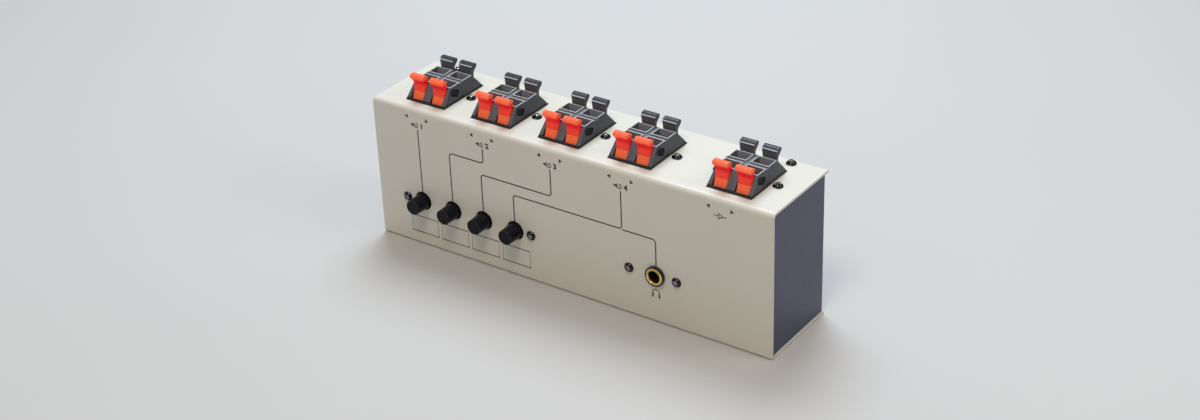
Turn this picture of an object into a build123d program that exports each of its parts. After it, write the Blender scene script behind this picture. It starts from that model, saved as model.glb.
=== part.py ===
"""Speaker selector switch.

A flat steel case carries five spring-lever terminal blocks on its top, and four push buttons and
a headphone socket on its front.  Millimetres.  X runs along the front from left to right, Y to
the back and Z up; the origin is the middle of the case's bottom face.
"""

import os

from build123d import *

os.makedirs("parts", exist_ok=True)

# ---------------------------------------------------------------- driving dimensions

# Case: the front cover is the top, front and bottom; the rear cover the two sides and the back
CASE_WIDTH = 250.0
CASE_DEPTH = 54.0
CASE_HEIGHT = 83.0
SHEET = 1.2
TOP_BEND_RADIUS = 3.0  # outside, along the front top edge
BOTTOM_BEND_RADIUS = 1.4
SIDE_REVEAL = 1.0  # how far the front cover's cut edges stand outside the rear cover
BACK_REVEAL = 0.5
COVER_PLAY = 0.1
CORNER_RADIUS = 2.0  # the rear cover's upright bends
SIDE_BOTTOM_RADIUS = 0.4  # lower front corners of the rear cover's sides
SEAM_FLANGE = 8.0  # folded edge of one cover that the other is screwed to
SEAM_END = 4.5  # how far the folded edges stop from the case's ends
CUT_PAST = 1.0  # how far a cutting shape runs past the material
CASE_SCREW_X = 105.9
TOP_CASE_SCREW_BACK = 3.9  # from the back edge of the top
BACK_CASE_SCREW_Z = 6.5

# Cross-headed screws, all M3
THREAD_RADIUS = 1.45
SCREW_LENGTH = 5.0
HEAD_RADIUS = 2.75
HEAD_HEIGHT = 2.2
HEAD_RIM = 0.4  # height of the head's upright edge
RECESS_LENGTH = 3.2
RECESS_WIDTH = 1.0
RECESS_DEPTH = 1.2
SHEET_HOLE_RADIUS = 1.6
TAPPED_HOLE_RADIUS = 1.5

# Terminal blocks: centres along the top, and what one block measures above and below the panel
SPEAKER_PITCH = 43.8
SPEAKER_COUNT = 4
FIRST_SPEAKER_X = -95.2
AMPLIFIER_X = 95.0
BLOCK_FROM_FRONT = 25.2
BLOCK_WIDTH = 26.0
BLOCK_LENGTH = 34.7
BLOCK_RISE = 9.0
BLOCK_TOP_WIDTH = 24.0
BLOCK_TOP_LENGTH = 19.0
BLOCK_DROP = 14.0
BLOCK_EDGE_RADIUS = 0.4
WINDOW_PLAY = 0.2
FLANGE_WIDTH = 42.8
FLANGE_LENGTH = 37.4
FLANGE_THICKNESS = 2.2
BLOCK_SCREW_X = 17.2  # from the block's centre, on either side
BLOCK_SCREW_Y = 1.0
SIDE_RECESS_LENGTH = 8.4
SIDE_RECESS_HEIGHT = 4.2
SIDE_RECESS_LEAN = -22.0  # falls towards the back
SIDE_RECESS_DEPTH = 0.9
SIDE_RECESS_Y = -6.2
SIDE_RECESS_Z = 5.0

# One block has four cells, two to a side, each with a wire entry and a lever
CELL_PITCH = 13.0
POCKET_WIDTH = 8.2
POCKET_SIDE = ((9.45, 9.0), (9.0, 5.0), (8.9, 2.2))  # (Y, Z) down the wall between lever and entry
WEB_THICKNESS = 1.8  # middle wall between the front and the rear cells
SILL_THICKNESS = 0.95  # outer wall at the foot of each slope
CEILING_Z = POCKET_SIDE[-1][1]
MOUTH_WIDTH = 9.4
MOUTH_LENGTH = 7.0
MOUTH_Y = 5.25
SLOT_SIDE = 4.8
SLOT_Y = 4.4
SLOT_TOP_Z = 3.6
VALLEY_WIDTH = 2.5  # lower strip between the raised rims of two entries
VALLEY_DEPTH = 0.6
RIB_TOP_Z = -11.9
RIB_THICKNESS = 1.6
RIB_OUTER_Y = 9.6
RIB_INNER_Y = 4.9

# Levers: measured from the block's centre on the panel, in a front cell
PIVOT_Y = -11.6
PIVOT_Z = 3.8
PIN_RADIUS = 1.2
PIN_LENGTH = 1.3
SOCKET_RADIUS = 1.25
SOCKET_DEPTH = 0.9
LEVER_WIDTH = 7.2
LIP_WIDTH = 8.6
CREASE_Z = 4.6
LIP_CORNER_Z = 11.0
LIP_TOP_Z = 14.4
LIP_CORNER_RADIUS = 0.4
# Side view as (Y, Z): outer face upwards, end of the lip's underside, then over the lip and down
# the inner face to the tip of the leg
LEVER_OUTER_FACE = ((-13.8, -0.7), (-14.9, 0.3), (-13.1, CREASE_Z), (-12.9, 8.4))
LIP_UNDERSIDE_END = (-15.2, 12.0)
LIP_TOP_ARC = ((-15.5, 13.0), (-13.4, LIP_TOP_Z), (-11.15, 13.65))
LEVER_RIDGE = ((-11.15, 13.2), (-10.4, 13.2), (-10.4, 12.75), (-10.95, 12.3))  # inner edge of the lip
LEVER_INNER_FACE = ((-10.75, 8.0), (-9.9, 4.6), (-9.85, 1.6), (-9.6, -3.0), (-10.6, -3.3), (-12.3, 1.2))
LEVER_FOOT_Z = -6.0  # below the leg's tip
GRIP_GROOVES = 5
GRIP_GROOVE_WIDTH = 0.5
GRIP_GROOVE_DEPTH = 0.3
GRIP_PITCH = 1.5

# Contacts: a fixed bar with a solder tail, and the leaf spring that a lever pushes off it
BAR_Y = -6.6
BAR_WIDTH = 2.6
BAR_THICKNESS = 0.6
BAR_TOP_Z = 1.8
BAR_PLAY = 0.05
TAIL_TOP_Z = -13.6
TAIL_BOTTOM_Z = -18.5
TAIL_HOLE_Z = -16.8
TAIL_HOLE_RADIUS = 0.65
LEAF_THICKNESS = 0.35
LEAF_WIDTH = 5.0
LEAF_LIMB_Y = -9.3
LEAF_TOP_Z = -1.4
LEAF_TIP_Y = -2.2
LEAF_BEND_RADIUS = 0.7
LEAF_WINDOW_WIDTH = 3.2
LEAF_WINDOW_FRONT_Y = -8.3
LEAF_PLAY = 0.1  # between a leaf spring and the bar that it surrounds

# Push buttons, in a row on the front
BUTTON_Z = 27.8
FIRST_BUTTON_X = -95.0
BUTTON_PITCH = 20.8
BUTTON_COUNT = 4
BUTTON_STANDS_OUT = 9.6
BUTTON_TRAVEL = 4.0
BUTTON_FACE_RADIUS = 4.3
BUTTON_ROOT_RADIUS = 4.65
BUTTON_EDGE = 0.35
BUTTON_FLANGE_RADIUS = 6.0
BUTTON_FLANGE_THICKNESS = 1.2
BUTTON_FLANGE_PLAY = 0.4  # between the flange and the panel
BUTTON_HOLE_RADIUS = 5.4
PLUNGER_SIDE = 2.8
PLUNGER_IN_CAP = 5.0  # how far the plunger reaches in front of the panel
PLUNGER_IN_SWITCH = 8.0
COLLAR_THICKNESS = 0.8
GUIDE_PLAY = 0.1
GUIDE_END_PLAY = 1.0  # left in front of a pressed plunger
SWITCH_SCREW_XS = (-105.7, -22.1)

# Switch bank behind the buttons: bracket, four switches and their circuit board
BRACKET_SHEET = 1.2
BRACKET_HEIGHT = 13.0
BRACKET_DECK = 12.0  # from the case's front face to the deck's own front face
BRACKET_BEND_RADIUS = 1.0  # of the sheet's middle
FOOT_REACH = 5.0  # from a foot's screw to its outer end
FOOT_RISE = 3.5  # from a foot's screw to the upright wall
SWITCH_WIDTH = 8.4
SWITCH_HEIGHT = 9.0
SWITCH_LENGTH = 24.0
SWITCH_CHAMFER = 0.5
SPRING_RADIUS = 2.45
SPRING_WIRE_RADIUS = 0.2
SPRING_TURNS = 6
SPRING_PLAY = 0.05
BOARD_THICKNESS = 1.6
BOARD_WIDTH = 104.0
BOARD_LENGTH = 34.0
BOARD_PLAY = 0.2
SWITCH_PIN_RADIUS = 0.4
SWITCH_PIN_LENGTH = 3.0
SWITCH_PIN_X = 2.5
SWITCH_PIN_PITCH = 4.5
SWITCH_PIN_ROWS = 5
PIN_PLAY = 0.05
RESISTOR_RADIUS = 1.6
RESISTOR_LENGTH = 7.0
RESISTOR_SPAN = 12.0  # between the two leads' holes
RESISTOR_Y = 15.0
RESISTOR_LIFT = 0.2  # above the board
LEAD_RADIUS = 0.35
LEAD_BEND_RADIUS = 1.0

# Headphone socket
SOCKET_X = 56.4
SOCKET_BORE_RADIUS = 3.25
SOCKET_BORE_DEPTH = 22.0
SOCKET_STANDS_OUT = 2.2
SOCKET_SLEEVE_RADIUS = 4.8
SLEEVE_DEPTH = 6.0
SLEEVE_CHAMFER = 0.5
SLEEVE_PLAY = 0.05
SOCKET_NUT_RADIUS = 5.6
SOCKET_NUT_HEIGHT = 1.9
NUT_EDGE_RADIUS = 0.3
SOCKET_BODY_WIDTH = 16.0
SOCKET_BODY_HEIGHT = 14.0
SOCKET_BODY_LENGTH = 24.0
SOCKET_CONTACT_PITCH = 5.0
SOCKET_CONTACT_WIDTH = 3.0
SOCKET_CONTACT_THICKNESS = 0.5
SOCKET_CONTACT_LENGTH = 7.0
SOCKET_SCREW_XS = (40.1, 69.0)
PLATE_THICKNESS = 1.2
PLATE_HEIGHT = 16.0

# Wiring
WIRE_RADIUS = 0.8
BUS_RADIUS = 0.6
WIRE_BEND_RADIUS = 3.0
WIRE_TURN_Z = 57.5  # height at which a wire from a terminal runs back to its own lane
WIRE_LANE_Z = 46.0
FIRST_LANE_Y = -2.2
LANE_PITCH = 2.4
OUTER_GAP = 13.5  # from the first button's axis to the middle of the gap on its left
PAD_OFFSET = 1.3  # of the left and the right channel's pads from the middle of their gap
HEADPHONE_PAD_X = -14.0
HEADPHONE_WIRE_Y = 4.5
HEADPHONE_RUN_Z = 34.0
HEADPHONE_RUN_PITCH = 3.0

# ---------------------------------------------------------------- derived places

FRONT_Y = -CASE_DEPTH / 2
BACK_Y = CASE_DEPTH / 2
FRONT = Plane.XZ.offset(-FRONT_Y)  # the case's front face, seen from outside
TOP = Plane.XY.offset(CASE_HEIGHT)
BACK_OUTER_Y = BACK_Y - BACK_REVEAL
BACK_INNER_Y = BACK_OUTER_Y - SHEET
BLOCK_Y = FRONT_Y + BLOCK_FROM_FRONT
CELL_X = CELL_PITCH / 2
BUTTON_XS = [FIRST_BUTTON_X + i * BUTTON_PITCH for i in range(BUTTON_COUNT)]
TERMINAL_XS = {f"speaker_{i + 1}": FIRST_SPEAKER_X + i * SPEAKER_PITCH for i in range(SPEAKER_COUNT)}
TERMINAL_XS["amplifier"] = AMPLIFIER_X
TERMINAL_SCREWS = [(x + side * BLOCK_SCREW_X, BLOCK_Y + BLOCK_SCREW_Y)
                   for x in TERMINAL_XS.values() for side in (-1, 1)]
TOP_CASE_SCREWS = [(side * CASE_SCREW_X, BACK_Y - TOP_CASE_SCREW_BACK) for side in (-1, 1)]
BACK_CASE_SCREWS = [(side * CASE_SCREW_X, BACK_CASE_SCREW_Z) for side in (-1, 1)]
FRONT_SCREWS = [(x, BUTTON_Z) for x in SWITCH_SCREW_XS + SOCKET_SCREW_XS]

# Depths behind the case's front face
CAP_FLANGE_DEPTH = SHEET + BUTTON_FLANGE_PLAY
CAP_END_DEPTH = CAP_FLANGE_DEPTH + BUTTON_FLANGE_THICKNESS
SWITCH_DEPTH = BRACKET_DECK + BRACKET_SHEET
SPRING_LENGTH = (BRACKET_DECK - CAP_END_DEPTH - COLLAR_THICKNESS
                 - 2 * (SPRING_WIRE_RADIUS + SPRING_PLAY))
BOARD_TOP_Z = BUTTON_Z - SWITCH_HEIGHT / 2


def on_front(x, z=BUTTON_Z):
    """Place of a piece on the front face; the piece's own +Z points out of the case."""
    return Location((x, FRONT_Y, z), (90, 0, 0))


def finish(builder, name):
    """Name a finished piece and write it out."""
    builder.part.label = name
    export_step(builder.part, f"parts/{name}.step")


def bent_strip(plane, points, bend_radius, thickness, width):
    """Sheet folded along `points`, its middle line, and centred on their plane."""
    with BuildPart() as strip:
        with BuildSketch(plane):
            with BuildLine():
                FilletPolyline(*points, radius=bend_radius)
            trace(line_width=thickness)
        extrude(amount=width / 2, both=True)
    return strip.part


def round_wire(points, radius, bend_radius):
    """Round wire along straight runs joined by arcs."""
    with BuildPart() as wire:
        with BuildLine() as route:
            FilletPolyline(*points, radius=bend_radius)
        with BuildSketch(Plane(origin=route.line @ 0, z_dir=route.line % 0)):
            Circle(radius)
        sweep()
    return wire.part


# ---------------------------------------------------------------- case

with BuildPart() as front_cover:
    with BuildSketch(Plane.YZ):
        with Locations((0, CASE_HEIGHT / 2)):
            Rectangle(CASE_DEPTH, CASE_HEIGHT)
    extrude(amount=CASE_WIDTH / 2, both=True)
    fillet(front_cover.edges().filter_by(Axis.X).group_by(Axis.Y)[0].sort_by(Axis.Z)[-1], TOP_BEND_RADIUS)
    fillet(front_cover.edges().filter_by(Axis.X).group_by(Axis.Y)[0].sort_by(Axis.Z)[0], BOTTOM_BEND_RADIUS)
    open_sides = front_cover.faces().filter_by(Axis.X) + front_cover.faces().sort_by(Axis.Y)[-1:]
    offset(amount=-SHEET, openings=open_sides)
    # The bottom stops short of the back and is folded up, inside the rear cover
    with BuildSketch(Plane.XY):
        with Locations((0, BACK_Y)):
            Rectangle(CASE_WIDTH, 2 * (BACK_Y - BACK_INNER_Y + COVER_PLAY))
    extrude(amount=SHEET, mode=Mode.SUBTRACT)
    with BuildSketch(Plane.XY):
        with Locations((0, BACK_INNER_Y - COVER_PLAY - SHEET / 2)):
            Rectangle(CASE_WIDTH - 2 * SEAM_END, SHEET)
    extrude(amount=SHEET + SEAM_FLANGE)
    # Windows and screw holes in the top
    with BuildSketch(TOP):
        with Locations(*[(x, BLOCK_Y) for x in TERMINAL_XS.values()]):
            Rectangle(BLOCK_WIDTH + 2 * WINDOW_PLAY, BLOCK_LENGTH + 2 * WINDOW_PLAY)
        with Locations(*TERMINAL_SCREWS, *TOP_CASE_SCREWS):
            Circle(SHEET_HOLE_RADIUS)
    extrude(amount=-2 * SHEET, mode=Mode.SUBTRACT)
    # Holes for the buttons, the socket and their screws in the front
    with BuildSketch(FRONT):
        with Locations(*[(x, BUTTON_Z) for x in BUTTON_XS]):
            Circle(BUTTON_HOLE_RADIUS)
        with Locations(*FRONT_SCREWS):
            Circle(SHEET_HOLE_RADIUS)
        with Locations((SOCKET_X, BUTTON_Z)):
            Circle(SOCKET_SLEEVE_RADIUS + SLEEVE_PLAY)
    extrude(amount=-2 * SHEET, mode=Mode.SUBTRACT)
    # Holes for the lower case screws in the folded-up edge
    with BuildSketch(Plane.XZ.offset(-BACK_INNER_Y)):
        with Locations(*BACK_CASE_SCREWS):
            Circle(TAPPED_HOLE_RADIUS)
    extrude(amount=2 * SHEET, mode=Mode.SUBTRACT)
finish(front_cover, "front_cover")

REAR_WIDTH = CASE_WIDTH - 2 * SIDE_REVEAL
REAR_FRONT_Y = FRONT_Y + SHEET + COVER_PLAY
REAR_BOTTOM_Z = SHEET + COVER_PLAY
REAR_TOP_Z = CASE_HEIGHT - SHEET - COVER_PLAY

with BuildPart() as rear_cover:
    with BuildSketch(Plane.XY.offset(REAR_BOTTOM_Z)):
        with Locations((0, (REAR_FRONT_Y + BACK_OUTER_Y) / 2)):
            Rectangle(REAR_WIDTH, BACK_OUTER_Y - REAR_FRONT_Y)
    extrude(amount=REAR_TOP_Z - REAR_BOTTOM_Z)
    fillet(rear_cover.edges().filter_by(Axis.Z).group_by(Axis.Y)[-1], CORNER_RADIUS)
    open_faces = rear_cover.faces().filter_by(Axis.Z) + rear_cover.faces().sort_by(Axis.Y)[:1]
    offset(amount=-SHEET, openings=open_faces)
    # The sides' front corners clear the inside of the front cover's bends
    front_corners = rear_cover.edges().filter_by(Axis.X).group_by(Axis.Y)[0].group_by(Axis.Z)
    fillet(front_corners[-1], TOP_BEND_RADIUS - SHEET + 2 * COVER_PLAY)
    fillet(front_corners[0], SIDE_BOTTOM_RADIUS)
    # The back's upper edge is folded inwards, under the top
    with BuildSketch(Plane.XY.offset(REAR_TOP_Z)):
        with Locations((0, BACK_OUTER_Y - (SHEET + SEAM_FLANGE) / 2)):
            Rectangle(CASE_WIDTH - 2 * SEAM_END, SHEET + SEAM_FLANGE)
    extrude(amount=-SHEET)
    with BuildSketch(Plane.XY.offset(REAR_TOP_Z)):
        with Locations(*TOP_CASE_SCREWS):
            Circle(TAPPED_HOLE_RADIUS)
    extrude(amount=-SHEET, mode=Mode.SUBTRACT)
    with BuildSketch(Plane.XZ.offset(-BACK_OUTER_Y)):
        with Locations(*BACK_CASE_SCREWS):
            Circle(SHEET_HOLE_RADIUS)
    extrude(amount=SHEET, mode=Mode.SUBTRACT)
finish(rear_cover, "rear_cover")

# ---------------------------------------------------------------- screws

# One cross-headed screw, seated on XY with its head up
with BuildPart() as screw:
    with BuildSketch(Plane.XZ):
        with BuildLine():
            Polyline((0, HEAD_HEIGHT), (0, -SCREW_LENGTH), (THREAD_RADIUS / 2, -SCREW_LENGTH),
                     (THREAD_RADIUS, -SCREW_LENGTH + THREAD_RADIUS / 2), (THREAD_RADIUS, 0),
                     (HEAD_RADIUS, 0), (HEAD_RADIUS, HEAD_RIM))
            TangentArc((0, HEAD_HEIGHT), (HEAD_RADIUS, HEAD_RIM), tangent=(1, 0))
        make_face()
    revolve(axis=Axis.Z)
    with BuildSketch(Plane.XY.offset(HEAD_HEIGHT)):
        Rectangle(RECESS_LENGTH, RECESS_WIDTH)
        Rectangle(RECESS_WIDTH, RECESS_LENGTH)
    extrude(amount=-RECESS_DEPTH, mode=Mode.SUBTRACT)

with BuildPart() as screws:
    with Locations(*[(x, y, CASE_HEIGHT) for x, y in TERMINAL_SCREWS + TOP_CASE_SCREWS]):
        add(screw.part)
    with Locations(*[on_front(x, z) for x, z in FRONT_SCREWS]):
        add(screw.part)
    with Locations(*[Location((x, BACK_OUTER_Y, z), (-90, 0, 0)) for x, z in BACK_CASE_SCREWS]):
        add(screw.part)
finish(screws, "screws")

# ---------------------------------------------------------------- terminal blocks

CELLS = [(side, facing) for side in (-1, 1) for facing in (-1, 1)]  # -1 is left, and front

# One housing, centred on the origin with the panel's outer face at Z = 0
with BuildPart() as housing:
    with BuildSketch(Plane.XY):
        Rectangle(BLOCK_WIDTH, BLOCK_LENGTH)
    with BuildSketch(Plane.XY.offset(BLOCK_RISE)):
        Rectangle(BLOCK_TOP_WIDTH, BLOCK_TOP_LENGTH)
    loft()
    fillet(housing.edges().filter_by(Axis.Z, reverse=True).group_by(Axis.Z)[-1]
           + housing.edges().group_by(Axis.Z)[1], BLOCK_EDGE_RADIUS)
    with BuildSketch(Plane.XY):
        Rectangle(BLOCK_WIDTH, BLOCK_LENGTH)
    extrude(amount=-BLOCK_DROP)
    with BuildSketch(Plane.XY.offset(-SHEET)):
        RectangleRounded(FLANGE_WIDTH, FLANGE_LENGTH, CORNER_RADIUS)
    extrude(amount=-FLANGE_THICKNESS)
    with BuildSketch(Plane.XY.offset(-SHEET)):
        with Locations((-BLOCK_SCREW_X, BLOCK_SCREW_Y), (BLOCK_SCREW_X, BLOCK_SCREW_Y)):
            Circle(TAPPED_HOLE_RADIUS)
    extrude(amount=-FLANGE_THICKNESS, mode=Mode.SUBTRACT)
    for side, facing in CELLS:
        # Wire entry: a funnel with four slopes that ends in a square slot
        with BuildSketch(Plane.XY.offset(BLOCK_RISE)):
            with Locations((side * CELL_X, facing * MOUTH_Y)):
                Rectangle(MOUTH_WIDTH, MOUTH_LENGTH)
        with BuildSketch(Plane.XY.offset(SLOT_TOP_Z)):
            with Locations((side * CELL_X, facing * SLOT_Y)):
                Rectangle(SLOT_SIDE, SLOT_SIDE)
        loft(mode=Mode.SUBTRACT)
        with BuildSketch(Plane.XY.offset(SLOT_TOP_Z)):
            with Locations((side * CELL_X, facing * SLOT_Y)):
                Rectangle(SLOT_SIDE, SLOT_SIDE)
        extrude(amount=CEILING_Z - SLOT_TOP_Z, mode=Mode.SUBTRACT)
        # Pocket for the lever, open on the slope, and the chamber under the entry
        sill_y = BLOCK_LENGTH / 2 - SILL_THICKNESS
        with BuildSketch(Plane.YZ.offset(side * CELL_X)):
            with BuildLine():
                Polyline(*[(facing * y, z) for y, z in (
                    (sill_y, -BLOCK_DROP), (sill_y, BLOCK_RISE + CUT_PAST),
                    (POCKET_SIDE[0][0], BLOCK_RISE + CUT_PAST), *POCKET_SIDE,
                    (WEB_THICKNESS / 2, CEILING_Z), (WEB_THICKNESS / 2, -BLOCK_DROP))], close=True)
            make_face()
        extrude(amount=POCKET_WIDTH / 2, both=True, mode=Mode.SUBTRACT)
        # Rib that the contact bar passes through and the leaf spring stands on
        with BuildSketch(Plane.XY.offset(RIB_TOP_Z)):
            with Locations((side * CELL_X, facing * (RIB_OUTER_Y + RIB_INNER_Y) / 2)):
                Rectangle(POCKET_WIDTH + CUT_PAST, RIB_OUTER_Y - RIB_INNER_Y)
        extrude(amount=-RIB_THICKNESS)
        with BuildSketch(Plane.XY.offset(RIB_TOP_Z)):
            with Locations((side * CELL_X, -facing * BAR_Y)):
                Rectangle(BAR_WIDTH + 2 * BAR_PLAY, BAR_THICKNESS + 2 * BAR_PLAY)
        extrude(amount=-RIB_THICKNESS, mode=Mode.SUBTRACT)
        # Sockets for the lever's pins
        with BuildSketch(Plane.YZ.offset(side * CELL_X)):
            with Locations((-facing * PIVOT_Y, PIVOT_Z)):
                Circle(SOCKET_RADIUS)
        extrude(amount=POCKET_WIDTH / 2 + SOCKET_DEPTH, both=True, mode=Mode.SUBTRACT)
    # Valleys between the four rims, and the recess in the right-hand wall
    with BuildSketch(Plane.XY.offset(BLOCK_RISE)):
        Rectangle(VALLEY_WIDTH, BLOCK_TOP_LENGTH)
        Rectangle(BLOCK_TOP_WIDTH, VALLEY_WIDTH)
    extrude(amount=-VALLEY_DEPTH, mode=Mode.SUBTRACT)
    with BuildSketch(Plane.YZ.offset(BLOCK_WIDTH / 2)):
        with Locations((SIDE_RECESS_Y, SIDE_RECESS_Z)):
            SlotOverall(SIDE_RECESS_LENGTH, SIDE_RECESS_HEIGHT, rotation=SIDE_RECESS_LEAN)
    side_lean = (BLOCK_WIDTH - BLOCK_TOP_WIDTH) / 2 * SIDE_RECESS_Z / BLOCK_RISE
    extrude(amount=-(side_lean + SIDE_RECESS_DEPTH), mode=Mode.SUBTRACT)

# One lever, in a front cell: side view first, then the front view cuts its waist and flared lip
with BuildPart() as lever:
    with BuildSketch(Plane.YZ):
        with BuildLine():
            plate = Polyline(*LEVER_OUTER_FACE)
            lip = TangentArc(plate @ 1, LIP_UNDERSIDE_END, tangent=plate % 1)
            Line(lip @ 1, LIP_TOP_ARC[0])
            ThreePointArc(*LIP_TOP_ARC)
            Polyline(LIP_TOP_ARC[-1], *LEVER_RIDGE, *LEVER_INNER_FACE, LEVER_OUTER_FACE[0])
        make_face()
    extrude(amount=LIP_WIDTH, both=True)
    with BuildSketch(Plane.XZ):
        with BuildLine():
            foot = Polyline((0, LEVER_FOOT_Z), (LEVER_WIDTH / 2, LEVER_FOOT_Z), (LEVER_WIDTH / 2, CREASE_Z))
            flare = TangentArc(foot @ 1, (LIP_WIDTH / 2, LIP_CORNER_Z), tangent=(0, 1))
            Polyline(flare @ 1, (LIP_WIDTH / 2, LIP_TOP_Z + CUT_PAST), (0, LIP_TOP_Z + CUT_PAST),
                     (0, LEVER_FOOT_Z))
        make_face()
        mirror(about=Plane.YZ)
    extrude(amount=CASE_DEPTH, both=True, mode=Mode.INTERSECT)
    fillet(lever.edges().filter_by(GeomType.LINE).filter_by(
        lambda edge: edge.center().Y < LIP_UNDERSIDE_END[0]
        and abs(abs(edge.center().X) - LIP_WIDTH / 2) < LIP_CORNER_RADIUS), LIP_CORNER_RADIUS)
    # Finger grip: grooves that follow the top's curve and run out over its outer edge
    for i in range(GRIP_GROOVES):
        with BuildSketch(Plane.YZ.offset((i - (GRIP_GROOVES - 1) / 2) * GRIP_PITCH)):
            with BuildLine():
                floor = ThreePointArc(*[(y, z - GRIP_GROOVE_DEPTH) for y, z in LIP_TOP_ARC])
                Polyline(floor @ 0, floor @ 0 - (CUT_PAST, 0),
                         (LIP_TOP_ARC[0][0] - CUT_PAST, LIP_TOP_Z + CUT_PAST),
                         (LIP_TOP_ARC[-1][0], LIP_TOP_Z + CUT_PAST), floor @ 1)
            make_face()
        extrude(amount=GRIP_GROOVE_WIDTH / 2, both=True, mode=Mode.SUBTRACT)
    with BuildSketch(Plane.YZ):
        with Locations((PIVOT_Y, PIVOT_Z)):
            Circle(PIN_RADIUS)
    extrude(amount=LEVER_WIDTH / 2 + PIN_LENGTH, both=True)

# One contact bar with its solder tail turned square to it
with BuildPart() as contact_bar:
    with BuildSketch(Plane.XY.offset(BAR_TOP_Z)):
        with Locations((0, BAR_Y)):
            Rectangle(BAR_WIDTH, BAR_THICKNESS)
    extrude(amount=TAIL_TOP_Z - BAR_TOP_Z)
    with BuildSketch(Plane.XY.offset(TAIL_TOP_Z)):
        with Locations((0, BAR_Y)):
            Rectangle(BAR_THICKNESS, BAR_WIDTH)
    extrude(amount=TAIL_BOTTOM_Z - TAIL_TOP_Z)
    with BuildSketch(Plane.YZ):
        with Locations((BAR_Y, TAIL_HOLE_Z)):
            Circle(TAIL_HOLE_RADIUS)
    extrude(amount=BAR_WIDTH, both=True, mode=Mode.SUBTRACT)

# One leaf spring: foot on the rib, upright limb, and a tongue with a window around the bar
with BuildPart() as leaf_spring:
    add(bent_strip(Plane.YZ, [(BAR_Y - BAR_THICKNESS / 2 - LEAF_PLAY, RIB_TOP_Z + LEAF_THICKNESS / 2),
                              (LEAF_LIMB_Y, RIB_TOP_Z + LEAF_THICKNESS / 2),
                              (LEAF_LIMB_Y, LEAF_TOP_Z), (LEAF_TIP_Y, LEAF_TOP_Z)],
                   LEAF_BEND_RADIUS, LEAF_THICKNESS, LEAF_WIDTH))
    window_back_y = BAR_Y + BAR_THICKNESS / 2 + LEAF_PLAY
    with BuildSketch(Plane.XY.offset(LEAF_TOP_Z + LEAF_THICKNESS)):
        with Locations((0, (LEAF_WINDOW_FRONT_Y + window_back_y) / 2)):
            Rectangle(LEAF_WINDOW_WIDTH, window_back_y - LEAF_WINDOW_FRONT_Y)
    extrude(amount=-2 * LEAF_THICKNESS, mode=Mode.SUBTRACT)


def cell_place(centre_x, side, facing):
    """Place of a cell's pieces; those of the rear cells are turned about the block's centre."""
    turn = 0 if facing < 0 else 180
    return Location((centre_x + side * CELL_X, BLOCK_Y, CASE_HEIGHT), (0, 0, turn))


for terminal, terminal_x in TERMINAL_XS.items():
    with BuildPart() as terminal_housing:
        with Locations((terminal_x, BLOCK_Y, CASE_HEIGHT)):
            add(housing.part)
    finish(terminal_housing, f"{terminal}_housing")
    for side, facing in CELLS:
        colour = "red" if facing < 0 else "black"
        hand = "left" if side < 0 else "right"
        with BuildPart() as placed_lever:
            with Locations(cell_place(terminal_x, side, facing)):
                add(lever.part)
        finish(placed_lever, f"{terminal}_{colour}_lever_{hand}")
    places = [cell_place(terminal_x, side, facing) for side, facing in CELLS]
    with BuildPart() as contact_bars:
        with Locations(*places):
            add(contact_bar.part)
    finish(contact_bars, f"{terminal}_contact_bars")
    with BuildPart() as contact_springs:
        with Locations(*places):
            add(leaf_spring.part)
    finish(contact_springs, f"{terminal}_contact_springs")

# ---------------------------------------------------------------- push buttons and switches

# One button cap, its axis on Z and the panel's outer face at Z = 0: a slightly tapered knob with
# a flange that stays behind the panel, hollowed from behind for the plunger
with BuildPart() as cap:
    with BuildSketch(Plane.XZ):
        with BuildLine():
            Polyline((0, BUTTON_STANDS_OUT), (BUTTON_FACE_RADIUS - BUTTON_EDGE, BUTTON_STANDS_OUT),
                     (BUTTON_FACE_RADIUS, BUTTON_STANDS_OUT - BUTTON_EDGE),
                     (BUTTON_ROOT_RADIUS, -CAP_FLANGE_DEPTH), (BUTTON_FLANGE_RADIUS, -CAP_FLANGE_DEPTH),
                     (BUTTON_FLANGE_RADIUS, -CAP_END_DEPTH), (0, -CAP_END_DEPTH), close=True)
        make_face()
    revolve(axis=Axis.Z)
    with BuildSketch(Plane.XY.offset(-CAP_END_DEPTH)):
        Rectangle(PLUNGER_SIDE, PLUNGER_SIDE)
    extrude(amount=CAP_END_DEPTH + PLUNGER_IN_CAP, mode=Mode.SUBTRACT)

# One plunger: a square rod from inside the cap into the switch, with a collar for its spring
with BuildPart() as plunger:
    with BuildSketch(Plane.XY.offset(PLUNGER_IN_CAP)):
        Rectangle(PLUNGER_SIDE, PLUNGER_SIDE)
    extrude(amount=-PLUNGER_IN_CAP - SWITCH_DEPTH - PLUNGER_IN_SWITCH)
    with BuildSketch(Plane.XY.offset(-CAP_END_DEPTH)):
        Circle(SPRING_RADIUS + 2 * SPRING_WIRE_RADIUS)
    extrude(amount=-COLLAR_THICKNESS)

# One return spring, wound around the plunger between its collar and the bracket
with BuildPart() as return_spring:
    with BuildLine(Plane.XY.offset(-BRACKET_DECK + SPRING_WIRE_RADIUS + SPRING_PLAY)) as winding:
        Helix(pitch=SPRING_LENGTH / SPRING_TURNS, height=SPRING_LENGTH, radius=SPRING_RADIUS)
    with BuildSketch(Plane(origin=winding.line @ 0, z_dir=winding.line % 0)):
        Circle(SPRING_WIRE_RADIUS)
    sweep(is_frenet=True)

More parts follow.
